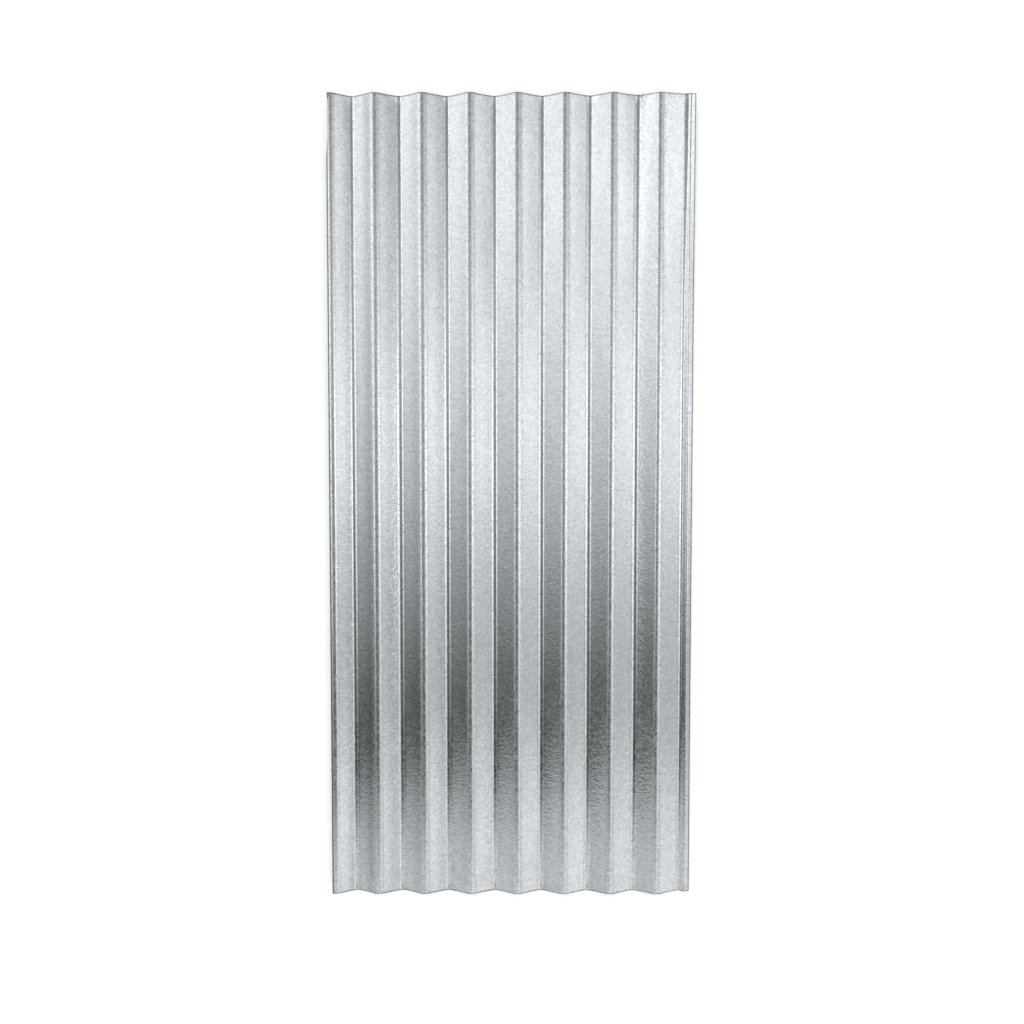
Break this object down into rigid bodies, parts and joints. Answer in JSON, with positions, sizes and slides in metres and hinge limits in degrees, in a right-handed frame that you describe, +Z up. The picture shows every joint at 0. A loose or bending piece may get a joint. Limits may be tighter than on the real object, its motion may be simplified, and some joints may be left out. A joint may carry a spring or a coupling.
{
  "type": "corrugated metal sheet",
  "caption": "Galvanised corrugated steel sheet with tight rounded bends and straight flanks running its length, for roofing, cladding and fencing.",
  "frame": {"origin": "middle of the sheet's box in plan, on the level floor that the undersides of its valleys rest on", "axes": "+Y along the waves, +X across them towards the side lip, +Z up through the wave's depth"},
  "size_m": [0.5888, 1.294, 0.018],
  "materials": {
    "galvanised_steel": "hot-dip zinc with small spangle, lightly dulled, roll marks along the bends"
  },
  "bodies": {
    "root": {"corrugated_sheet": "galvanised_steel"}
  },
  "joints": []
}
